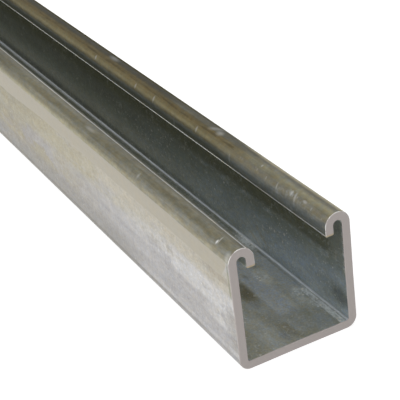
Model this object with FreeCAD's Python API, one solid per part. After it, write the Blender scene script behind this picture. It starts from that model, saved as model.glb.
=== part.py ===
import FreeCAD, Part
import math
import os

# A plain strut channel: one strip of galvanised steel, roll-formed into a square trough
# whose two edges turn over and down inside it, so that the mouth is narrower than the hollow.
# The stock lies on its closed back. X runs along the stock, Y across it and Z up to the open
# mouth, with the origin in the middle of the back's underside. Sizes are in millimetres.

# Outside of the section, and the length that the stock is sold in
section_width = 41.3
section_height = 41.3
stock_length = 3000.0

# The strip, with its zinc coat, and the rounding of its slit edges
strip_thickness = 2.8
strip_edge_radius = 0.45

# Bends, measured on their inside
base_bend_radius = 0.8
lip_bend_radius = 1.5

# How far each lip reaches down from the top of the section
lip_drop = 7.2

# The saw burr is filed off all round both cut ends
end_deburr = 0.2

# Two lengths closer than this are the same, when edges are picked by their place
same_place = 1e-6


def line(start, end):
    """A straight stretch of the section between two (y, z) points."""
    return Part.LineSegment(FreeCAD.Vector(0, *start), FreeCAD.Vector(0, *end)).toShape()


def bend(start, middle, end):
    """A round stretch of the section through three (y, z) points."""
    points = [FreeCAD.Vector(0, *point) for point in (start, middle, end)]
    return Part.Arc(*points).toShape()


def outer_skin_of_side(side):
    """The outside of one wall from its lip's tip to the flat of the base; side is -1 or 1."""
    wall = side * section_width / 2
    lip_bend = lip_bend_radius + strip_thickness
    lip_face = wall - side * 2 * lip_bend
    lip_bend_start = section_height - lip_bend
    lip_tip = section_height - lip_drop
    base_bend = base_bend_radius + strip_thickness
    base_bend_middle = base_bend * (1 - math.sqrt(0.5))
    return [
        line((lip_face, lip_tip), (lip_face, lip_bend_start)),
        bend(
            (lip_face, lip_bend_start),
            (wall - side * lip_bend, section_height),
            (wall, lip_bend_start),
        ),
        line((wall, lip_bend_start), (wall, base_bend)),
        bend(
            (wall, base_bend),
            (wall - side * base_bend_middle, base_bend_middle),
            (wall - side * base_bend, 0),
        ),
    ]


def section_of_strip():
    """The whole section: the outer skin with the strip's thickness laid on its inside."""
    base_flat = section_width / 2 - base_bend_radius - strip_thickness
    base = line((-base_flat, 0), (base_flat, 0))
    edges = outer_skin_of_side(-1) + [base] + outer_skin_of_side(1)
    skin = Part.Wire(Part.sortEdges(edges)[0])
    round_joins = 0
    section = skin.makeOffset2D(-strip_thickness, join=round_joins, fill=True, openResult=True)
    return section


def is_lip_tip_corner(edge):
    """True for the long edges at the foot of a lip, where the strip was slit."""
    runs_along = abs(edge.BoundBox.XLength - stock_length) < same_place
    lip_tip = section_height - lip_drop
    at_tip = abs(edge.BoundBox.ZMin - lip_tip) < same_place and edge.BoundBox.ZLength < same_place
    return runs_along and at_tip


def is_at_cut_end(edge):
    """True for the edges that outline a sawn end."""
    in_one_plane = edge.BoundBox.XLength < same_place
    return in_one_plane and abs(abs(edge.CenterOfMass.x) - stock_length / 2) < same_place


def rolled_channel():
    """The strip's section drawn out along X, with its slit edges rounded and its ends filed."""
    section = section_of_strip()
    section.translate(FreeCAD.Vector(-stock_length / 2, 0, 0))
    bar = section.extrude(FreeCAD.Vector(stock_length, 0, 0))
    if bar.ShapeType != "Solid":
        bar = bar.Solids[0]
    bar = bar.makeFillet(strip_edge_radius, [e for e in bar.Edges if is_lip_tip_corner(e)])
    bar = bar.makeChamfer(end_deburr, [e for e in bar.Edges if is_at_cut_end(e)])
    return bar.Solids[0]


channel = rolled_channel()
os.makedirs("parts", exist_ok=True)
channel.exportStep("parts/channel.step")
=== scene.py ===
import math

import bpy
from mathutils import Matrix, Vector, noise


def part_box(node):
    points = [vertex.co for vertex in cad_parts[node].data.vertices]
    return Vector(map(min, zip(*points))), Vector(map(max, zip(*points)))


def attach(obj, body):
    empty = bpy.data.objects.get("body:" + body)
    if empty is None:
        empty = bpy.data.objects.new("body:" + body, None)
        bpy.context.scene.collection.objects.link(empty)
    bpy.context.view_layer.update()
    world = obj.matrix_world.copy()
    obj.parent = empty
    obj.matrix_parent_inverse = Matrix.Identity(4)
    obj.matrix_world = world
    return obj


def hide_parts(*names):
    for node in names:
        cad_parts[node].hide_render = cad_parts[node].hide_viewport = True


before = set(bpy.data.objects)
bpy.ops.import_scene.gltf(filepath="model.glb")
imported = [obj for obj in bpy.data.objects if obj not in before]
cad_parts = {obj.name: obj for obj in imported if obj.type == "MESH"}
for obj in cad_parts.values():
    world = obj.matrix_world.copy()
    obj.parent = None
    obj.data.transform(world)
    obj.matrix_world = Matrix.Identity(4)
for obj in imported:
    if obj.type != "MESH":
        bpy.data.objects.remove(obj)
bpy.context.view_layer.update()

# A length of plain galvanised strut channel, lying on its closed back. One strip makes the
# whole section, so it is one mesh, drawn out ring by ring along X from the strip's outline.
# Places are in metres, and the surface patterns are laid out on the strip in millimetres.
MM = 0.001

# The strip's section, as in the part's source; the overall sizes come from the frame
strip_thickness = 2.8 * MM
base_bend_radius = 0.8 * MM
lip_bend_radius = 1.5 * MM
lip_drop = 7.2 * MM
strip_edge_radius = 0.45 * MM
end_deburr = 0.2 * MM

box_low, box_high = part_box("channel")
section_width = box_high.y - box_low.y
section_height = box_high.z - box_low.z
near_end = box_high.x
far_end = box_low.x

outer_base_bend = base_bend_radius + strip_thickness
outer_lip_bend = lip_bend_radius + strip_thickness
half_base = section_width / 2 - outer_base_bend
wall_flat = section_height - outer_base_bend - outer_lip_bend

# Camera: its direction, its tilt about its own axis, and where the near end shows
image_size = 400
camera_azimuth = math.radians(65.59)
camera_elevation = math.radians(28.34)
camera_tilt = math.radians(7.63)
focal_pixels = 1281.4
near_end_pixel = (295.0, 290.6)
near_end_depth = 377.7 * MM
sensor_width = 36.0
nearest_seen, furthest_seen = 0.01, 100

# Fineness of the mesh: along the flats of the section, round its bends and its slit edges,
# along X from the near end, as (distance from the end, step) for each stretch, and along the
# filed edge of each sawn end
flat_step = 5 * MM
bend_step = math.radians(11.25)
edge_step = math.radians(30)
ring_steps = [(0.06, 1 * MM), (0.35, 2.5 * MM), (1.0, 6.5 * MM), (2.94, 20 * MM), (3.0, 5 * MM)]
filed_steps = 2
sharp_angle = math.radians(25)

# The rolled walls aren't dead flat: how deep they dip, and how long the dips are
dip_depth = 0.12 * MM
dip_length = 70 * MM
dip_width = 14 * MM

# The numbers of the mesh's three materials
outside_finish, inside_finish, sawn_finish = range(3)

# The rows of the surface map: the stretch of the length that each one holds, as distances from
# the near end, and its lower and upper edge. The two sawn ends lie above the rows.
map_rows = [
    (0, 0.35, 0.002, 0.47), (0.35, 1.24, 0.476, 0.603),
    (1.24, 2.12, 0.609, 0.736), (2.12, 3, 0.742, 0.869),
]
map_margin = 0.001
end_map_size = 0.122
near_map_place, far_map_place = (0.002, 0.875), (0.13, 0.875)

# The studio: a white floor that glows a little, a dim white sky, and two wide soft lamps
floor_size = 60
floor_drop = 0.1 * MM
floor_tone = 0.4
floor_roughness = 0.9
floor_glow = 0.8
sky_glow = 0.3
key_place, key_target = (near_end + 0.1, -1.2, 1.2), (near_end - 0.1, 0, 0)
key_width, key_height, key_watts = 1.6, 1.2, 16
top_place, top_target = (near_end - 0.2, 0.1, 1.6), (near_end - 0.2, 0, 0)
top_width, top_height, top_watts = 1.5, 1.5, 14


def place_camera():
    """Sets the camera so that the near end's centre lies at its pixel and depth."""
    back = Vector((
        math.sin(camera_azimuth) * math.cos(camera_elevation),
        -math.cos(camera_azimuth) * math.cos(camera_elevation),
        math.sin(camera_elevation),
    ))
    level_right = (-back).cross(Vector((0, 0, 1))).normalized()
    level_down = (-back).cross(level_right)
    right = math.cos(camera_tilt) * level_right + math.sin(camera_tilt) * level_down
    down = math.cos(camera_tilt) * level_down - math.sin(camera_tilt) * level_right

    end_centre = Vector((near_end, 0, section_height / 2))
    across, drop = ((pixel - image_size / 2) / focal_pixels for pixel in near_end_pixel)
    place = end_centre - near_end_depth * (across * right + drop * down - back)

    data = bpy.data.cameras.new("camera")
    data.sensor_width = sensor_width
    data.lens = sensor_width * focal_pixels / image_size
    data.clip_start = nearest_seen
    data.clip_end = furthest_seen
    camera = bpy.data.objects.new("camera", data)
    axes = Matrix((right, -down, back)).transposed().to_4x4()
    camera.matrix_world = Matrix.Translation(place) @ axes
    bpy.context.scene.collection.objects.link(camera)
    bpy.context.scene.camera = camera


def direction(angle):
    """The unit vector at that angle in the YZ plane."""
    return Vector((math.cos(angle), math.sin(angle)))


def strip_half():
    """The strip's middle line on the +Y side, as (place, outward, girth) in the YZ plane.

    Outward points to the strip's outer skin, and girth is the distance along the strip from
    the middle of the base. The line stops short of the slit edge by that edge's radius.
    """
    stretches = [
        (half_base, None),
        (base_bend_radius + strip_thickness / 2, math.radians(90)),
        (wall_flat, None),
        (lip_bend_radius + strip_thickness / 2, math.radians(180)),
        (lip_drop - outer_lip_bend - strip_edge_radius, None),
    ]
    place = Vector((0, strip_thickness / 2))
    heading = 0.0
    girth = 0.0
    line = [(place, direction(heading - math.pi / 2), girth)]
    for size, turn in stretches:
        steps = round(turn / bend_step) if turn else max(1, round(size / flat_step))
        centre = place + direction(heading + math.pi / 2) * size
        for _ in range(steps):
            if turn:
                heading += turn / steps
                girth += size * turn / steps
                place = centre + direction(heading - math.pi / 2) * size
            else:
                girth += size / steps
                place = place + direction(heading) * size / steps
            line.append((place, direction(heading - math.pi / 2), girth))
    return line


def strip_line():
    """The whole middle line, from the -Y lip's tip round the base to the +Y lip's tip."""
    plus_side = strip_half()
    minus_side = [
        (Vector((-place.x, place.y)), Vector((-outward.x, outward.y)), -girth)
        for place, outward, girth in plus_side[1:]
    ]
    return minus_side[::-1] + plus_side


def slit_edge(place, outward, side, girth):
    """The outline round a lip's tip, from the outer skin to the inner one."""
    ahead = Vector((-outward.y, outward.x)) * side
    points = []
    steps = round(math.radians(90) / edge_step)
    for skin, face in ((1, outward), (0, -outward)):
        centre = place + face * (strip_thickness / 2 - strip_edge_radius)
        for step in range(steps + 1):
            share = step / steps if skin else 1 - step / steps
            angle = math.radians(90) * share
            normal = face * math.cos(angle) + ahead * math.sin(angle)
            points.append((centre + normal * strip_edge_radius, normal, girth, skin))
    return points[1:-1]


def section_outline():
    """The closed outline of the section, and how many points a skin and a slit edge have.

    The outline is a list of (place, normal, girth, skin). It runs along the outer skin from
    the -Y lip to the +Y lip, round that lip's slit edge, back along the inner skin, and round
    the other slit edge. Skin is 1 on the outside of the strip and 0 on its inside.
    """
    line = strip_line()
    half = strip_thickness / 2
    outer = [(place + out * half, out, girth, 1) for place, out, girth in line]
    inner = [(place - out * half, -out, girth, 0) for place, out, girth in line]
    plus_edge = slit_edge(*line[-1][:2], 1, line[-1][2])
    minus_edge = slit_edge(*line[0][:2], -1, line[0][2])
    return outer + plus_edge + inner[::-1] + minus_edge[::-1], len(outer), len(plus_edge)


def ring_places():
    """Where the rings of the mesh lie along X, from the near end to the far one."""
    length = near_end - far_end
    filed = [end_deburr * i / filed_steps for i in range(filed_steps + 1)]
    distances = filed.copy()
    for reach, step in ring_steps:
        start = distances[-1]
        reach = min(reach, length - end_deburr)
        steps = round((reach - start) / step)
        distances += [start + (reach - start) * (i + 1) / steps for i in range(steps)]
    distances += [length - distance for distance in reversed(filed[:-1])]
    return [near_end - distance for distance in distances]


def flat_share(girth):
    """0 at the bends and on the lips, and up to 1 in the middle of each flat."""
    wall_start = half_base + math.radians(90) * (base_bend_radius + strip_thickness / 2)
    size = abs(girth)
    if size < half_base:
        return math.cos(math.radians(90) * size / half_base) ** 2
    if wall_start < size < wall_start + wall_flat:
        return math.sin(math.pi * (size - wall_start) / wall_flat) ** 2
    return 0.0


def dip(x, girth):
    """How far the strip lies inside its true section at a place."""
    where = Vector((x / dip_length, girth / dip_width, 0.0))
    return dip_depth * flat_share(girth) * (0.5 + 0.5 * noise.noise(where))


def round_the_strip(outline):
    """How far round the outline each of its points lies, as shares from 0 up to 1."""
    reach = [0.0]
    for i in range(len(outline)):
        place, after = outline[i][0], outline[(i + 1) % len(outline)][0]
        reach.append(reach[-1] + (after - place).length)
    return [share / reach[-1] for share in reach]


def row_spot(distance, middle, share):
    """The place in the surface map of a point on the strip, in the row that holds middle."""
    start, end, bottom, top = next(row for row in map_rows if row[0] <= middle < row[1])
    along = min(1.0, max(0.0, (distance - start) / (end - start)))
    return map_margin + (1 - 2 * map_margin) * along, bottom + (top - bottom) * share


def end_spot(place, corner):
    """The place in the surface map of a point on a sawn end, whose map starts at corner."""
    across = (place[1] - box_low.y) / section_width
    up = (place[2] - box_low.z) / section_height
    return corner[0] + end_map_size * across, corner[1] + end_map_size * up


def ring_points(outline, rings):
    """The mesh's points from the near end to the far one, with the girth and skin of each."""
    vertices, girths, skins = [], [], []
    for x in rings:
        from_end = min(near_end - x, x - far_end)
        filed = max(0.0, end_deburr - from_end)
        for place, normal, girth, skin in outline:
            inward = -normal if skin else normal
            spot = place - normal * filed + inward * dip(x, girth)
            vertices.append((x, spot.x, spot.y))
            girths.append(girth)
            skins.append(skin)
    return vertices, girths, skins


def side_faces(outline, rings, on_inside):
    """The faces between the rings, with the finish of each and the map place of each corner."""
    count = len(outline)
    round_strip = round_the_strip(outline)
    faces, finishes, spots = [], [], []
    gaps = len(rings) - 1
    for ring in range(gaps):
        at_end = ring < filed_steps or ring >= gaps - filed_steps
        here, there = near_end - rings[ring], near_end - rings[ring + 1]
        middle = (here + there) / 2
        for i in range(count):
            a = ring * count + i
            b = ring * count + (i + 1) % count
            faces.append((a, b, b + count, a + count))
            finish = inside_finish if i in on_inside else outside_finish
            finishes.append(sawn_finish if at_end else finish)
            this, other = round_strip[i], round_strip[i + 1]
            for distance, share in ((here, this), (here, other), (there, other), (there, this)):
                spots.append(row_spot(distance, middle, share))
    return faces, finishes, spots


def end_faces(count, skin_points, edge_points):
    """The faces that close the section at an end, as numbers of points on the outline."""
    faces = []
    for i in range(skin_points - 1):
        across = skin_points + edge_points + (skin_points - 1 - i)
        faces.append((i, i + 1, across - 1, across))
    plus_tip = tuple(range(skin_points - 1, skin_points + edge_points + 1))
    minus_tip = (*range(2 * skin_points + edge_points - 1, count), 0)
    return faces + [plus_tip, minus_tip]


def build_channel():
    """The whole channel as one closed mesh with its surface map."""
    outline, skin_points, edge_points = section_outline()
    rings = ring_places()
    vertices, girths, skins = ring_points(outline, rings)
    inner_start = skin_points + edge_points
    on_inside = range(inner_start, inner_start + skin_points - 1)
    faces, finishes, spots = side_faces(outline, rings, on_inside)

    caps = end_faces(len(outline), skin_points, edge_points)
    last_ring = (len(rings) - 1) * len(outline)
    near_caps = [cap[::-1] for cap in caps]
    far_caps = [tuple(last_ring + i for i in cap) for cap in caps]
    for end_caps, corner in ((near_caps, near_map_place), (far_caps, far_map_place)):
        faces += end_caps
        finishes += [sawn_finish] * len(end_caps)
        spots += [end_spot(vertices[i], corner) for cap in end_caps for i in cap]

    mesh = bpy.data.meshes.new("strut_channel")
    mesh.from_pydata(vertices, [], faces)
    mesh.attributes.new("girth", "FLOAT", "POINT").data.foreach_set("value", girths)
    mesh.attributes.new("skin", "FLOAT", "POINT").data.foreach_set("value", skins)
    mesh.polygons.foreach_set("material_index", finishes)
    surface_map = mesh.uv_layers.new(name="OFBake")
    surface_map.data.foreach_set("uv", [value for spot in spots for value in spot])
    mesh.shade_smooth()
    mesh.set_sharp_from_angle(angle=sharp_angle)
    mesh.update()
    return mesh


# How far apart in their noise the patterns lie: on the two skins, and from one call to the next
skin_gap = 17
cloud_gap = 7.3
speck_gap = 31.7

# A width for patches in the direction between the skins, so great that they lie on both
both_skins = 1e6

# In millimetres: the stretch that the photograph shows, how far the tones beyond it swing,
# how unevenly they do so, and the stretch over which that sets in
seen_stretch = 320
tone_swing = 260
swing_sway = 180
sway_start = 120


class Look:
    """A material's node tree, with short calls for the few kinds of node that it needs."""

    def __init__(self, name):
        self.material = bpy.data.materials.new(name)
        self.material.use_nodes = True
        self.tree = self.material.node_tree
        self.shader = self.tree.nodes["Principled BSDF"]
        self.seeds = 0

        # Places on the strip in millimetres: the distance from the near end, cut from the nearer
        # end, s along the girth, size from the middle of the base on either side, and the skin
        place = self.node("TexCoord", {})["Object"]
        along = self.node("SeparateXYZ", {"Vector": place})["X"]
        distance = self.maths("MULTIPLY_ADD", along, -1 / MM, near_end / MM)
        from_far_end = self.maths("SUBTRACT", (near_end - far_end) / MM, distance)
        self.cut = self.maths("MINIMUM", distance, from_far_end)
        girth = self.node("Attribute", {}, attribute_name="girth")["Fac"]
        self.s = self.maths("MULTIPLY", girth, 1 / MM)
        self.size = self.maths("ABSOLUTE", self.s)
        self.skin = self.node("Attribute", {}, attribute_name="skin")["Fac"]
        places = {"X": distance, "Y": self.s, "Z": self.skin}
        self.strip = self.node("CombineXYZ", places)["Vector"]

        # The tones follow d: the distance over the stretch that the photograph shows, then to
        # and fro at an uneven pace over the rest of the length
        beyond = self.maths("MAXIMUM", self.maths("SUBTRACT", distance, seen_stretch), 0)
        swaying = self.times(self.sway(swing_sway, 260, 90), self.fade(beyond, 0, sway_start))
        swing = self.maths("PINGPONG", self.maths("ADD", beyond, swaying), tone_swing)
        self.d = self.maths("SUBTRACT", self.maths("MINIMUM", distance, seen_stretch), swing)

    def node(self, kind, inputs, **settings):
        """Adds a node with its settings and its inputs, as values or links; returns its outputs."""
        made = self.tree.nodes.new("ShaderNode" + kind)
        for name, value in settings.items():
            setattr(made, name, value)
        for name, value in inputs.items():
            self.fill(made.inputs[name], value)
        return made.outputs

    def fill(self, socket, value):
        """Links a value to an input, or sets it there if it is a plain one."""
        if isinstance(value, bpy.types.NodeSocket):
            self.tree.links.new(value, socket)
        else:
            socket.default_value = value

    def maths(self, operation, *values):
        """The result of one of Blender's Math operations."""
        return self.node("Math", dict(enumerate(values)), operation=operation)["Value"]

    def times(self, *values):
        """The product of several values."""
        product = values[0]
        for value in values[1:]:
            product = self.maths("MULTIPLY", product, value)
        return product

    def either(self, *shares):
        """The greatest of several shares."""
        most = shares[0]
        for share in shares[1:]:
            most = self.maths("MAXIMUM", most, share)
        return most

    def fade(self, value, start, end, low=0.0, high=1.0):
        """Goes smoothly from low, where value is start, to high, where it is end."""
        inputs = {"Value": value, "From Min": start, "From Max": end, "To Min": low, "To Max": high}
        return self.node("MapRange", inputs, interpolation_type="SMOOTHSTEP")["Result"]

    def band(self, value, low, high, soft):
        """1 between low and high, fading to 0 outside them over a distance of soft."""
        return self.times(self.fade(value, low - soft, low), self.fade(value, high + soft, high))

    def patch(self, along, across, length, width, turn=0, soft=0.6):
        """1 in a rounded patch about (along, across), with those half sizes and a soft rim."""
        inputs = {
            "Vector": self.strip,
            "Location": (along, across, 0),
            "Rotation": (0, 0, math.radians(turn)),
            "Scale": (length, width, both_skins),
        }
        own = self.node("Mapping", inputs, vector_type="TEXTURE")["Vector"]
        reach = self.node("VectorMath", {0: own}, operation="LENGTH")["Value"]
        return self.fade(reach, 1 + soft, 1 - soft)

    def patches(self, places, soft=0.6):
        """The share covered by any of several patches."""
        return self.either(*[self.patch(*place, soft=soft) for place in places])

    def mix(self, under, over, share):
        """The colour under with over laid on it by share."""
        inputs = {0: share, 6: self.opaque(under), 7: self.opaque(over)}
        return self.node("Mix", inputs, data_type="RGBA")[2]

    def opaque(self, colour):
        """The colour as an input takes it: a plain one needs its alpha."""
        return (*colour, 1) if isinstance(colour, tuple) else colour

    def shade(self, colour, factor):
        """The colour made lighter or darker by factor."""
        return self.node("VectorMath", {0: colour, 3: factor}, operation="SCALE")["Vector"]

    def grain(self, colour, length, width, depth, warmth=0.0):
        """The colour with grains of that size, lighter and darker by depth and of other warmth."""
        level = self.fade(self.clouds(length, width, 4, 0.65), 0.3, 0.7, 1 - depth, 1 + depth)
        colour = self.shade(colour, level)
        if not warmth:
            return colour
        cool, warm = (1 - warmth, 1, 1 + 2 * warmth), (1 + warmth, 1, 1 - 2 * warmth)
        warmer = self.fade(self.clouds(length * 1.4, width * 1.4, 4, 0.65), 0.35, 0.65)
        tint = self.mix(cool, warm, warmer)
        return self.node("VectorMath", {0: colour, 1: tint}, operation="MULTIPLY")["Vector"]

    def ramp(self, value, stops):
        """The colour at value, from (value, colour) stops in rising order."""
        first, last = stops[0][0], stops[-1][0]
        inputs = {"Value": value, "From Min": first, "From Max": last}
        share = self.node("MapRange", inputs)["Result"]
        made = self.tree.nodes.new("ShaderNodeValToRGB")
        self.fill(made.inputs["Fac"], share)
        elements = made.color_ramp.elements
        elements[1].position = 1
        for place, _ in stops[1:-1]:
            elements.new((place - first) / (last - first))
        for element, (_, colour) in zip(elements, stops):
            element.color = (*colour, 1)
        return made.outputs["Color"]

    def scaled(self, length, width, turn=0):
        """Places on the strip, in units of length along X and width across it."""
        self.seeds += 1
        turned = self.node(
            "Mapping", {"Vector": self.strip, "Rotation": (0, 0, math.radians(turn))}
        )["Vector"]
        scale, shift = (1 / length, 1 / width, skin_gap), (0, 0, cloud_gap * self.seeds)
        inputs = {0: turned, 1: scale, 2: shift}
        return self.node("VectorMath", inputs, operation="MULTIPLY_ADD")["Vector"]

    def clouds(self, length, width, detail=3.0, rough=0.55, turn=0, swirl=0.0):
        """Soft noise, about 0.5 in the mean, whose patches have that length and width."""
        inputs = {
            "Vector": self.scaled(length, width, turn),
            "Scale": 1.0,
            "Detail": detail,
            "Roughness": rough,
            "Distortion": swirl,
        }
        return self.node("TexNoise", inputs)["Fac"]

    def sway(self, reach, length, width, detail=3.0, rough=0.55):
        """Soft noise from -reach to reach, whose patches have that length and width."""
        return self.maths(
            "MULTIPLY_ADD", self.clouds(length, width, detail, rough), 2 * reach, -reach
        )

    def lines(self, length, width, fine, turn=0):
        """Thin curved lines, drawn where soft noise crosses its mean; fine is their width."""
        level = self.clouds(length, width, 1.5, 0.5, turn, 0.6)
        return self.fade(self.maths("ABSOLUTE", self.maths("SUBTRACT", level, 0.5)), fine, 0.0)

    def specks(self, size, share, soft=0.1):
        """1 in round spots of about that size, in that share of the cells of a net."""
        self.seeds += 1
        inputs = {0: self.strip, 1: (0.5 / size,) * 3, 2: (speck_gap * self.seeds, 0, 0)}
        net = self.node("VectorMath", inputs, operation="MULTIPLY_ADD")["Vector"]
        cells = self.node("TexVoronoi", {"Vector": net, "Scale": 1.0}, voronoi_dimensions="2D")
        chosen = self.node("SeparateColor", {"Color": cells["Color"]})
        kept = self.maths("LESS_THAN", chosen["Red"], share)
        radius = self.maths("MULTIPLY_ADD", chosen["Green"], 0.25, 0.15)
        edge = self.maths("SUBTRACT", radius, cells["Distance"])
        return self.times(kept, self.fade(edge, 0.0, soft))


# Along the girth, the base is flat up to 17 mm from its middle. The walls run from 20.5 to 54,
# and each lip from there over its crest at 58.5 to the rounded slit edge at 65.4.

# Tones of the zinc coat outside, as the light that it returns: bare, stained, filmed over,
# and rubbed. Chalk and iron also paint the highlight and the shade line at the wall's foot, and
# the rubbed tone also gives the painted highlights on the burrs.
chalk = (0.485, 0.475, 0.462)
grey = (0.374, 0.364, 0.362)
dun = (0.275, 0.256, 0.228)
lead = (0.27, 0.258, 0.24)
iron = (0.2, 0.19, 0.165)
ash = (0.31, 0.29, 0.262)
fawn = (0.32, 0.29, 0.23)
khaki = (0.355, 0.325, 0.235)
straw = (0.325, 0.292, 0.195)
honey = (0.31, 0.285, 0.175)
matt = (0.415, 0.386, 0.32)
olive = (0.28, 0.268, 0.195)
drab = (0.22, 0.215, 0.17)
umber = (0.25, 0.21, 0.115)
bister = (0.15, 0.125, 0.07)
slate = (0.12, 0.118, 0.092)
moss = (0.2, 0.21, 0.14)
rubbed_and_highlight = (0.85, 0.85, 0.82)
clumped = (0.62, 0.65, 0.64)
bared = (1, 1, 0.98)

# Tones inside: of the walls, of the painted light by the open end and in the hooks, of the painted
# highlight along the corners, and of the crusts of zinc beside them
mist = (0.55, 0.62, 0.665)
gloom = (0.27, 0.3, 0.3)
rust = (0.5, 0.47, 0.36)
end_lit_grey = (0.4, 0.43, 0.4)
hook_lit_grey = (0.85, 0.9, 0.9)
dusk = (0.255, 0.27, 0.225)
stone = (0.48, 0.5, 0.445)
sky = (0.66, 0.71, 0.77)
ice = (0.9, 0.95, 1)
crust = (0.88, 0.91, 0.9)
spark = (1, 0.97, 0.88)

# Tones of the web, which is the inside of the base
web_olive = (0.37, 0.37, 0.3)
web_grey = (0.43, 0.45, 0.43)
web_pale = (0.455, 0.473, 0.435)
web_tan = (0.365, 0.36, 0.285)
web_blue = (0.54, 0.575, 0.59)
web_cream = (0.6, 0.6, 0.53)
web_dark = (0.2, 0.187, 0.125)
web_slate = (0.32, 0.34, 0.335)
web_sand = (0.34, 0.325, 0.255)
web_light = (0.6, 0.63, 0.64)
web_rim = (0.55, 0.58, 0.58)

# The bare steel of the cut, and the brown on the tips of its lips
sawn = (0.4, 0.362, 0.345)
tip_brown = (0.42, 0.32, 0.14)

# What the zinc mirrors at a low angle: clean, and darkened and browned by painted shade
clean_gloss = (1, 1, 1)
shaded_gloss = (0.35, 0.32, 0.2)

# How metallic and how rough the surfaces are, and the relief of the zinc's grain
zinc_metallic, sawn_metallic = 0.9, 0.1
zinc_smoothest, zinc_roughest = 0.36, 0.5
band_roughness = 0.55
tip_roughness = 0.9
sawn_roughness = 0.8
relief_strength = 0.5
relief_height = 0.02 * MM

# Streaks along the -Y lip, as (girth, tone) from the wall to the slit edge. The pale line from
# 59.75 to 60.05 mm, just past the crest, is a painted highlight, and so is the pale line along
# the slit edge.
minus_lip_tones = [
    (54.3, (0.29, 0.272, 0.2)), (55.1, (0.3, 0.28, 0.205)), (55.9, (0.42, 0.41, 0.34)),
    (56.6, (0.31, 0.3, 0.235)), (57.0, olive), (57.9, olive), (58.5, (0.33, 0.315, 0.245)),
    (59.1, (0.33, 0.32, 0.255)), (59.5, olive), (59.75, (0.95, 0.95, 0.9)),
    (60.05, (0.95, 0.95, 0.9)), (60.2, (0.42, 0.42, 0.37)), (62.5, (0.5, 0.49, 0.4)),
    (64.5, (0.32, 0.33, 0.28)), (65.2, (0.32, 0.33, 0.28)), (65.3, (0.84, 0.84, 0.79)),
]

# Streaks along the +Y lip in the same way, by the near end and further back. Further back the
# dark tones from 56.5 to 59 mm are painted shade, and on both the pale line along the slit edge
# is a painted highlight.
plus_lip_near_tones = [
    (54.3, (0.36, 0.345, 0.3)), (56.5, (0.45, 0.415, 0.29)), (57.3, (0.58, 0.53, 0.36)),
    (58.1, (0.285, 0.275, 0.225)), (58.7, (0.315, 0.305, 0.24)), (59.4, (0.355, 0.335, 0.23)),
    (60.3, (0.285, 0.267, 0.185)), (60.6, (0.315, 0.3, 0.24)), (61.5, (0.39, 0.36, 0.26)),
    (62.3, (0.54, 0.55, 0.51)), (62.9, (0.48, 0.51, 0.5)), (63.7, (0.38, 0.405, 0.4)),
    (65.2, (0.245, 0.26, 0.22)), (65.3, (0.6, 0.6, 0.58)),
]
plus_lip_far_tones = [
    (54.3, (0.31, 0.295, 0.24)), (55.7, (0.28, 0.265, 0.2)), (56.5, (0.09, 0.085, 0.05)),
    (57.5, (0.12, 0.11, 0.07)), (58.3, slate), (58.9, (0.14, 0.13, 0.09)),
    (59.4, (0.21, 0.175, 0.095)), (60.0, (0.225, 0.18, 0.09)), (60.9, (0.33, 0.28, 0.15)),
    (61.6, (0.45, 0.4, 0.24)), (62.2, (0.38, 0.345, 0.23)), (62.6, (0.37, 0.385, 0.35)),
    (63.3, (0.25, 0.27, 0.24)), (64.0, (0.21, 0.22, 0.17)), (65.2, (0.24, 0.25, 0.2)),
    (65.3, (1, 1, 0.97)),
]

# The insides of the walls as (girth, tone), from the base up into the hook of the lip, by the
# near end and further back. The dark tones from about 40 mm up are the lip's shadow painted on
# the wall, and the darker tones further back are painted shade.
inner_near_tones = [
    (20, mist), (24, (0.55, 0.62, 0.675)), (29, (0.5, 0.57, 0.62)), (33, (0.47, 0.535, 0.57)),
    (36.5, (0.375, 0.415, 0.395)), (39, (0.33, 0.355, 0.325)), (40.5, (0.22, 0.23, 0.175)),
    (44, (0.225, 0.23, 0.165)), (53, (0.245, 0.25, 0.18)), (55, (0.5, 0.5, 0.42)),
]
inner_far_tones = [
    (19.2, dusk), (21.5, dusk), (22.8, stone), (26.5, stone), (29.5, (0.36, 0.385, 0.335)),
    (33, (0.265, 0.285, 0.24)), (38, (0.235, 0.25, 0.205)), (41.5, (0.18, 0.185, 0.12)),
    (46, (0.18, 0.185, 0.115)),
]

# Patches outside, as (distance from the near end, girth, half length, half width), and with
# their turn in degrees where some are turned: a brownish one under the matt band, and on the
# lips nicks, worn places, a bare nick, and places that are rubbed pale in clumps
brownish_place = (9, -47.4, 11, 1.7)
nicks = [
    (8.6, -57.3, 0.25, 0.9, 20), (13, 60.6, 1.0, 0.3, 0), (18, 61.5, 0.5, 1.2, 20),
    (20.5, 60.6, 0.5, 0.5, 0), (27.5, 62.5, 0.9, 0.3, 0), (28.5, 61.4, 0.3, 0.8, 10),
    (40.5, 59.5, 0.4, 0.3, 0), (58, 62.6, 0.4, 1.0, 10), (82, 61.3, 0.5, 0.7, 0),
    (115.5, 61.4, 0.5, 0.8, 0), (131, 61.3, 0.5, 0.6, 0), (168, 61.2, 0.6, 0.6, 0),
]
worn_places = [
    (70, 58.8, 1.5, 0.7, 0), (73.5, 58.2, 2.5, 0.6, 20), (157, 58.4, 3, 0.6, 0),
    (30, 56.5, 4, 0.5, 0), (104, -57.8, 3, 0.4, 0), (1.2, -55.6, 1.2, 0.9, 0),
    (62, -56.6, 0.5, 0.6, 0),
]
bare_nick = (9.1, -56.6, 0.4, 0.45)
clumpy_places = [
    (20, 63.6, 2.5, 1.4, 0), (28, 62.2, 4, 0.9, 10), (21, 61.2, 3, 1.2, 15),
    (37, 62.8, 3, 0.8, 5), (14, 61.8, 2.5, 0.8, 0), (48, 62.6, 3, 0.6, 0),
]

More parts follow.
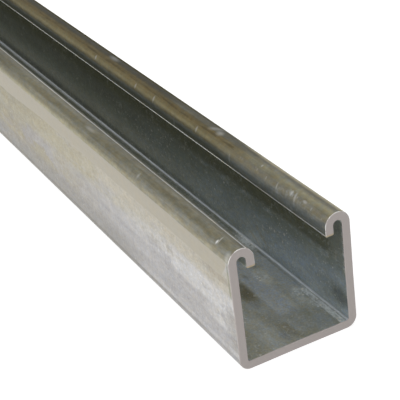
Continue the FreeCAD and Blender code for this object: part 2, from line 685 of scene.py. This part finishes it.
# Patches inside in the same way: on the wall, beside the corner, and on the web
gloomy_place, gloomiest_place = (9, 25, 9, 4.5), (4.5, 26, 6, 3.4)
rusty_places = [(52, 25.5, 5, 0.8, 35), (57, 22.5, 4, 0.6, 25)]
crusts = [
    (64, 16.8, 6, 1.6, 0), (59, 14.8, 3, 1.2, 0), (23, 13.8, 3, 2.6, 20), (21, 16.5, 4, 1, 0),
    (14, 15, 3, 2, 0), (8, 16.5, 3, 0.8, 0), (38, 9, 5, 2.2, 0), (57.5, 15.8, 2.6, 1.7, 0),
]
caked_place = (61, 16.2, 6, 1.6)
pale_places = [(11, -6.5, 8, 3.2), (22, 0.5, 5, 2.5)]
dark_place = (34.5, -0.4, 8, 2.4)
slaty_places = [(5, -2.3, 3, 1.2), (25, -1, 2.5, 1.2)]
sandy_place = (7, 0.6, 4, 1.2)
light_place = (25, 7, 6, 3)


def stained_wall(look):
    """The grey of the walls and the base outside, with its streaks and its brownish stains."""
    d, size = look.d, look.size
    wall = look.mix(grey, dun, look.fade(d, 30, 250))
    wall = look.grain(wall, 34, 9, 0.07)
    wall = look.grain(wall, 45, 1.8, 0.035)
    stained = look.times(look.fade(look.clouds(26, 6, 4), 0.3, 0.52), look.band(size, 40.5, 49, 4))
    wall = look.mix(wall, khaki, look.times(stained, look.fade(d, 0, 100, 0.2, 1)))
    cloudy = look.fade(look.clouds(12, 5, 4), 0.25, 0.45)
    warm = look.times(cloudy, look.band(size, 44, 50, 2.5), look.fade(d, 130, 90), 0.9)
    wall = look.mix(wall, matt, warm)
    cloudy = look.fade(look.clouds(26, 10, 4), 0.4, 0.52)
    wall = look.mix(wall, straw, look.times(cloudy, look.fade(d, 80, 170), 0.85))
    dimmed = look.times(look.fade(d, 130, 190, 0, 0.12), look.fade(size, 30, 38, 0.4, 1))
    wall = look.shade(wall, look.maths("SUBTRACT", 1, dimmed))
    return look.mix(wall, lead, look.times(look.fade(size, 31, 25), look.fade(d, 50, 90), 0.85))


def whitish_patches(look, wall):
    """Lays whitish patches on the wall, brushed downwards, and dulls places by the cut."""
    d, size = look.d, look.size
    high_up = look.band(size, 35.5, 41, 3)
    by_end = look.times(look.band(size, 29.5, 34, 2), look.fade(d, 24, 8))
    spread = look.either(high_up, by_end)
    brushed = look.sway(0.25, 1.6, 7, 3, 0.6)
    ragged = look.maths("ADD", look.clouds(16, 6, 4, 0.6), brushed)
    patches = look.times(spread, look.fade(d, 110, 20, 0.1, 1), look.fade(ragged, 0.34, 0.5))
    wall = look.mix(wall, chalk, patches)
    wall = look.mix(wall, fawn, look.times(look.patch(*brownish_place, soft=0.4), 0.7))
    dull_by_cut = look.times(look.band(size, 24, 36, 2), look.fade(look.cut, 7, 2))
    return look.mix(wall, ash, look.times(dull_by_cut, 0.6))


def foot_lines(look, wall):
    """Paints a highlight line on the wall above the base's bend, and a line of painted shade at its
    foot.
    """
    d, size = look.d, look.size
    light = look.times(look.band(size, 21.9, 22.9, 0.5), look.fade(d, 70, 50, 0, 0.5))
    wall = look.mix(wall, chalk, light)
    dark = look.times(look.band(size, 20.3, 21.1, 0.5), look.fade(d, 15, 80, 0.3, 0.8))
    return look.mix(wall, iron, dark)


def wall_grain(look, wall):
    """Adds the grain of the zinc, which is finer by the near end than further back."""
    d = look.d
    wall = look.grain(wall, 1.1, 5, 0.045)
    wall = look.grain(wall, 5, 3.5, 0.06, 0.008)
    wall = look.grain(wall, 1.4, 1.1, 0.06, 0.015)
    wall = look.grain(wall, 0.6, 0.6, 0.05, 0.02)
    wall = look.mix(wall, look.grain(wall, 0.8, 0.8, 0.08), look.fade(d, 90, 50))
    return look.mix(wall, look.grain(wall, 7, 3.5, 0.09, 0.03), look.fade(d, 140, 200))


def matt_band(look):
    """The share of the matt band that the rollers leave on the wall under the -Y lip."""
    s = look.s
    wavy = look.maths("ADD", s, look.sway(0.6, 7, 30, 3))
    foot = look.maths("ADD", wavy, look.fade(look.d, 140, 185, 0, -1.7))
    slant = look.maths("MULTIPLY", look.fade(s, -54, -48.5), -3)
    start = look.maths("ADD", look.cut, slant)
    top_edge, foot_edge = look.fade(s, -54.3, -54.1), look.fade(foot, -48.1, -48.6)
    return look.times(top_edge, foot_edge, look.fade(start, 1.2, 1.9))


def outer_wall(look):
    """The zinc on the outside of the walls and the base, and the share of the matt band."""
    wall = stained_wall(look)
    wall = whitish_patches(look, wall)
    wall = foot_lines(look, wall)
    wall = wall_grain(look, wall)
    band = matt_band(look)
    wall = look.mix(wall, rubbed_and_highlight, look.times(look.specks(0.5, 0.02), 0.25))
    band_tone = look.grain(look.grain(matt, 2, 2, 0.02, 0.01), 80, 0.4, 0.02)
    return look.mix(wall, band_tone, band), band


def minus_lip(look):
    """The zinc on the -Y lip: its streaks, a brown film, and a yellowed edge to the wall."""
    d, size = look.d, look.size
    lip = look.ramp(size, minus_lip_tones)
    streaky = look.fade(look.clouds(40, 1.5), 0.46, 0.58)
    film = look.times(look.band(size, 56.8, 57.8, 0.5), streaky, look.fade(d, 20, 150, 0.2, 0.5))
    lip = look.mix(lip, umber, film)
    yellowed = look.times(look.band(size, 54.3, 56, 0.4), look.fade(d, 40, 100, 0, 0.5))
    lip = look.mix(lip, honey, yellowed)
    lightness = look.times(look.fade(d, 90, 135, 1, 1.16), look.fade(d, 155, 200, 1, 0.85))
    lip = look.shade(lip, lightness)
    return look.mix(lip, look.grain(lip, 5, 0.55, 0.11, 0.01), look.fade(d, 40, 90, 1, 0.45))


def plus_lip(look):
    """The +Y lip's zinc: its streaks grow browner, and darker with painted shade, further back."""
    d, s, size = look.d, look.s, look.size
    near, far = look.ramp(size, plus_lip_near_tones), look.ramp(size, plus_lip_far_tones)
    wandering = look.maths("ADD", d, look.sway(20, 30, 3, 3))
    lip = look.mix(near, far, look.fade(wandering, 35, 75))
    crest = look.times(look.band(s, 57.8, 58.9, 0.4), look.band(d, 60, 95, 20), 0.8)
    lip = look.mix(lip, drab, crest)
    broken = look.times(
        look.band(s, 59.8, 60.1, 0.25), look.fade(look.clouds(9, 0.8, 4), 0.45, 0.55)
    )
    return look.mix(lip, bister, look.times(broken, look.fade(d, 40, 60, 0.1, 0.7)))


def lip_wear(look, lip):
    """Rubs and nicks the lips: flecks, slips across the streaks, pale clumps and worn places."""
    d, s = look.d, look.s
    flecks = look.times(
        look.specks(0.6, 0.2), look.band(s, 60.8, 63.6, 0.8), look.fade(d, 60, 30, 0.15, 1)
    )
    slips = look.fade(look.clouds(1.2, 6, 3, 0.6), 0.6, 0.7)
    here_and_there = look.fade(look.clouds(6, 30), 0.45, 0.6)
    slips = look.times(slips, look.band(s, 62.5, 64.5, 0.6), here_and_there)
    lumps = look.fade(look.clouds(1.1, 0.9, 3, 0.6), 0.4, 0.66)
    clumps = look.times(look.patches(clumpy_places, 0.5), lumps)
    lip = look.mix(lip, clumped, look.times(clumps, 0.5))
    worn = look.either(
        look.times(look.patches(nicks), 0.45), look.times(look.patches(worn_places, 0.9), 0.35),
        look.times(flecks, 0.26), look.times(slips, 0.25),
    )
    lip = look.mix(lip, rubbed_and_highlight, worn)
    return look.mix(lip, bared, look.times(look.patch(*bare_nick), 0.85))


def lips(look):
    """The zinc on the outside of the two lips, each with its own streaks along the strip."""
    minus, plus = minus_lip(look), plus_lip(look)
    lip = look.mix(minus, plus, look.maths("GREATER_THAN", look.s, 0))
    lip = look.grain(lip, 45, 0.7, 0.08)
    lip = look.grain(lip, 5, 1.3, 0.1, 0.015)
    lip = look.grain(lip, 1.2, 0.8, 0.06, 0.04)
    return lip_wear(look, lip)


def web(look):
    """The zinc on the inside of the base, with its patches near the end."""
    d, s = look.d, look.s
    base = look.mix(web_olive, web_grey, look.fade(look.clouds(10, 4, 4, 0.6), 0.35, 0.65))
    pale = look.times(look.patches(pale_places, 0.5), look.fade(look.clouds(6, 3, 4), 0.3, 0.6))
    base = look.mix(base, web_pale, pale)
    base = look.mix(base, web_tan, look.times(look.fade(s, -8.5, -11), 0.7))
    cloudy = look.fade(look.clouds(8, 3, 4, 0.6), 0.25, 0.45)
    bluish = look.times(look.band(s, 3, 8, 2), look.band(d, 18, 55, 6), cloudy)
    base = look.mix(base, web_blue, bluish)
    cloudy = look.fade(look.clouds(7, 4, 4), 0.3, 0.6)
    yellowish = look.times(look.band(s, 8.5, 14, 1), look.band(d, 20, 45, 10), cloudy)
    base = look.mix(base, web_cream, yellowish)
    base = look.mix(base, web_dark, look.times(look.patch(*dark_place, soft=0.5), 0.8))
    base = look.mix(base, web_slate, look.times(look.patches(slaty_places, 0.5), 0.8))
    base = look.mix(base, web_sand, look.times(look.patch(*sandy_place, soft=0.5), 0.7))
    base = look.mix(base, web_light, look.times(look.patch(*light_place), 0.5))
    lighter_side = look.times(look.band(s, 3, 13, 2), look.fade(d, 30, 18, 0.03, 0.1))
    base = look.shade(base, look.maths("ADD", 1, lighter_side))
    # Painted light on the web beside the inner corners, lifting the shade that falls there
    by_corner = look.times(look.band(s, 12.5, 17, 1.5), look.band(d, 28, 50, 8), 0.8)
    base = look.mix(base, web_rim, by_corner)
    base = look.grain(base, 5, 2.5, 0.05, 0.01)
    base = look.grain(base, 1.6, 1.3, 0.06, 0.02)
    return look.grain(base, 0.7, 0.6, 0.12, 0.05)


def inner_walls(look):
    """The zinc on the inside of the walls, with painted shadow under the lips and painted shade
    further back, lighter near the base.
    """
    d, size = look.d, look.size
    # The tones paint the lips' shadow on the walls, and shade that deepens further back
    near, far = look.ramp(size, inner_near_tones), look.ramp(size, inner_far_tones)
    wandering = look.maths("ADD", d, look.sway(30, 30, 9, 3))
    wall = look.mix(near, far, look.fade(wandering, 10, 190))
    gloomy = look.times(look.patch(*gloomy_place, soft=0.7), 0.6)
    wall = look.mix(wall, gloom, look.either(gloomy, look.patch(*gloomiest_place)))
    wall = look.mix(wall, rust, look.times(look.patches(rusty_places), 0.5))
    cloudy = look.fade(look.clouds(7, 3, 3), 0.5, 0.56)
    smudges = look.times(look.band(size, 37.6, 39, 0.6), cloudy, look.fade(d, 110, 90))
    wall = look.mix(wall, mist, look.times(smudges, 0.35))
    # Painted light on the upper walls by the open end, where light comes in
    by_cut = look.times(look.band(size, 40, 60, 2), look.fade(look.cut, 11, 3))
    wall = look.mix(wall, end_lit_grey, look.times(by_cut, 0.75))
    # Painted light in the shaded hooks of the lips by the near end
    in_hook = look.times(look.fade(size, 55, 57), look.fade(look.cut, 20, 4))
    wall = look.mix(wall, hook_lit_grey, look.times(in_hook, 0.8))
    # A burr along the cut on the upper walls, made bright by a painted highlight
    ragged = look.fade(look.clouds(1.2, 1, 3, 0.6), 0.4, 0.55)
    burr = look.times(look.fade(look.cut, 1.1, 0.6), ragged, look.band(size, 38, 54, 3), 0.7)
    wall = look.mix(wall, rubbed_and_highlight, burr)
    wall = look.grain(wall, 14, 7, 0.07)
    wall = look.grain(wall, 2.5, 1.8, 0.08, 0.02)
    wall = look.grain(wall, 0.9, 0.8, 0.1, 0.03)
    return look.grain(wall, 0.45, 0.45, 0.09, 0.02)


def corner_light(look, colour):
    """Draws the light along the inner corners, the dark line beside it, and the dim foot."""
    d, size = look.d, look.size
    along_bend = look.maths("ADD", size, look.fade(d, 60, 260, 0, 0.8))
    uneven = look.fade(look.clouds(4, 3, 4), 0.2, 0.45, 0.5, 1)
    light = look.times(look.band(along_bend, 17.5, 19.1, 0.5), uneven, look.fade(d, 5, 30, 0.7, 1))
    colour = look.mix(colour, look.mix(sky, ice, look.fade(d, 40, 180)), light)
    line = look.times(look.band(along_bend, 16.0, 16.5, 0.3), look.fade(d, 26, 60, 0.3, 0.8))
    colour = look.mix(colour, dusk, line)
    dim_foot = look.times(look.band(size, 19.8, 23, 1), look.fade(d, 150, 250, 0, 0.24))
    return look.shade(colour, look.maths("SUBTRACT", 1, dim_foot))


def dusting(look, colour):
    """Strews dust on the inside, thinner under the lips and further back, and fine curls."""
    d, size = look.d, look.size
    drifts = look.fade(look.clouds(25, 9), 0.35, 0.6, 0.35, 1)
    on_web, under_lips = look.fade(size, 16, 21, 0.45, 1), look.fade(size, 36, 41, 1, 0.3)
    dusty = look.times(drifts, look.fade(d, 120, 220, 1, 0.3), on_web, under_lips)
    specks = look.times(look.either(look.specks(0.5, 0.16), look.specks(0.8, 0.07)), dusty)
    colour = look.mix(colour, rubbed_and_highlight, look.times(specks, 0.75))
    curls = look.times(look.lines(6, 4, 0.02, 35), look.fade(look.clouds(12, 8), 0.45, 0.55))
    return look.mix(colour, rubbed_and_highlight, look.times(curls, 0.3))


def zinc_crusts(look, colour):
    """Lays lumpy crusts of zinc with bright sparks beside the inner corner."""
    lumps = look.fade(look.clouds(1.6, 1.3, 3, 0.7), 0.44, 0.58, 0.2, 0.65)
    lumps = look.either(lumps, look.specks(0.6, 0.35))
    streaky = look.fade(look.clouds(4, 1.5), 0.3, 0.5, 0.3, 1)
    by_end = look.times(look.band(look.s, 15.2, 16.4, 0.7), look.fade(look.d, 26, 22), streaky)
    lumpy = look.fade(look.clouds(1.5, 1.1, 3, 0.7), 0.36, 0.54, 0.35, 1)
    caked = look.times(look.either(look.patch(*caked_place, soft=0.5), by_end), lumpy)
    crusted = look.either(look.times(look.patches(crusts, soft=0.5), lumps), caked)
    colour = look.mix(colour, crust, crusted)
    sparks = look.times(look.specks(0.8, 0.45), look.fade(crusted, 0.15, 0.4), 0.9)
    return look.mix(colour, spark, sparks)


def coat(look, colour, least_roughness):
    """Puts the colour on the zinc, with its relief, and a roughness of at least that much."""
    look.fill(look.shader.inputs["Base Color"], colour)
    look.fill(look.shader.inputs["Metallic"], zinc_metallic)
    grain = look.clouds(1.5, 0.8, 3, 0.6)
    rough = look.fade(grain, 0.2, 0.8, zinc_smoothest, zinc_roughest)
    look.fill(look.shader.inputs["Roughness"], look.maths("MAXIMUM", rough, least_roughness))
    inputs = {"Strength": relief_strength, "Distance": relief_height, "Height": grain}
    look.fill(look.shader.inputs["Normal"], look.node("Bump", inputs)["Normal"])
    return look.material


def zinc_outside():
    """The zinc coat on the strip's outer skin."""
    look = Look("zinc_outside")
    wall, band = outer_wall(look)
    colour = look.mix(wall, lips(look), look.fade(look.size, 54.1, 54.4))
    by_cut = look.times(look.band(look.cut, 0.7, 1.3, 0.3), look.band(look.size, 44, 53, 2), 0.6)
    colour = look.mix(colour, moss, by_cut)
    rough_tip = look.fade(look.size, 65.2, 65.3, 0, tip_roughness)

    # Painted shade darkens and browns what the +Y lip's crest mirrors at a low angle,
    # more so further back
    on_crest = look.times(look.band(look.s, 55.5, 57.1, 0.9), look.fade(look.d, 40, 140, 0.3, 1))
    look.fill(look.shader.inputs["Specular Tint"], look.mix(clean_gloss, shaded_gloss, on_crest))
    return coat(look, colour, look.either(look.times(band, band_roughness), rough_tip))


def zinc_inside():
    """The zinc coat on the strip's inner skin."""
    look = Look("zinc_inside")
    colour = look.mix(web(look), inner_walls(look), look.fade(look.size, 18, 20.5))
    colour = corner_light(look, colour)
    colour = dusting(look, colour)
    colour = zinc_crusts(look, colour)
    return coat(look, colour, 0)


def sawn_steel():
    """The sawn ends: dull bare steel, with a painted highlight on the burr at the lips' outer rim.
    """
    look = Look("sawn_steel")
    steel = look.grain(sawn, 2, 2, 0.02)
    rim = look.fade(look.cut, 0.02, 0.1)
    clumps = look.fade(look.clouds(2, 1.6, 3), 0.4, 0.55)
    on_lips = look.fade(look.size, 52, 55, 0.15, 1)
    steel = look.mix(steel, rubbed_and_highlight, look.times(rim, clumps, on_lips, look.skin, 0.8))
    steel = look.mix(steel, tip_brown, look.fade(look.size, 65.1, 65.4, 0, 0.6))
    look.fill(look.shader.inputs["Base Color"], steel)
    look.fill(look.shader.inputs["Metallic"], sawn_metallic)
    look.fill(look.shader.inputs["Roughness"], sawn_roughness)
    return look.material


def floor_paint():
    """The floor's white paint, which glows a little so that the background stays white."""
    paint = bpy.data.materials.new("floor_paint")
    paint.use_nodes = True
    inputs = paint.node_tree.nodes["Principled BSDF"].inputs
    inputs["Base Color"].default_value = (floor_tone, floor_tone, floor_tone, 1)
    inputs["Roughness"].default_value = floor_roughness
    inputs["Emission Color"].default_value = (1, 1, 1, 1)
    inputs["Emission Strength"].default_value = floor_glow
    return paint


def area_light(name, place, target, width, height, watts):
    """Adds a white rectangular lamp at place that shines at target."""
    data = bpy.data.lights.new(name, "AREA")
    data.shape = "RECTANGLE"
    data.size = width
    data.size_y = height
    data.energy = watts
    lamp = bpy.data.objects.new(name, data)
    lamp.location = place
    lamp.rotation_euler = (Vector(target) - Vector(place)).to_track_quat("-Z", "Y").to_euler()
    bpy.context.scene.collection.objects.link(lamp)


def build_stage():
    """The white studio of the photograph: the floor, the sky and the lamps."""
    mesh = bpy.data.meshes.new("floor")
    corners = [(x * floor_size, y * floor_size, 0) for x, y in ((-1, -1), (1, -1), (1, 1), (-1, 1))]
    mesh.from_pydata(corners, [], [(0, 1, 2, 3)])
    mesh.materials.append(floor_paint())
    floor = bpy.data.objects.new("floor", mesh)
    floor.location.z = -floor_drop
    bpy.context.scene.collection.objects.link(floor)

    world = bpy.data.worlds.new("studio")
    world.use_nodes = True
    background = world.node_tree.nodes["Background"].inputs
    background["Color"].default_value = (1, 1, 1, 1)
    background["Strength"].default_value = sky_glow
    bpy.context.scene.world = world
    area_light("key", key_place, key_target, key_width, key_height, key_watts)
    area_light("top", top_place, top_target, top_width, top_height, top_watts)
    bpy.context.scene.view_settings.view_transform = "Standard"


place_camera()
mesh = build_channel()
for finish in (zinc_outside(), zinc_inside(), sawn_steel()):
    mesh.materials.append(finish)
channel = bpy.data.objects.new("strut_channel", mesh)
bpy.context.scene.collection.objects.link(channel)
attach(channel, "root")
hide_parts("channel")
build_stage()
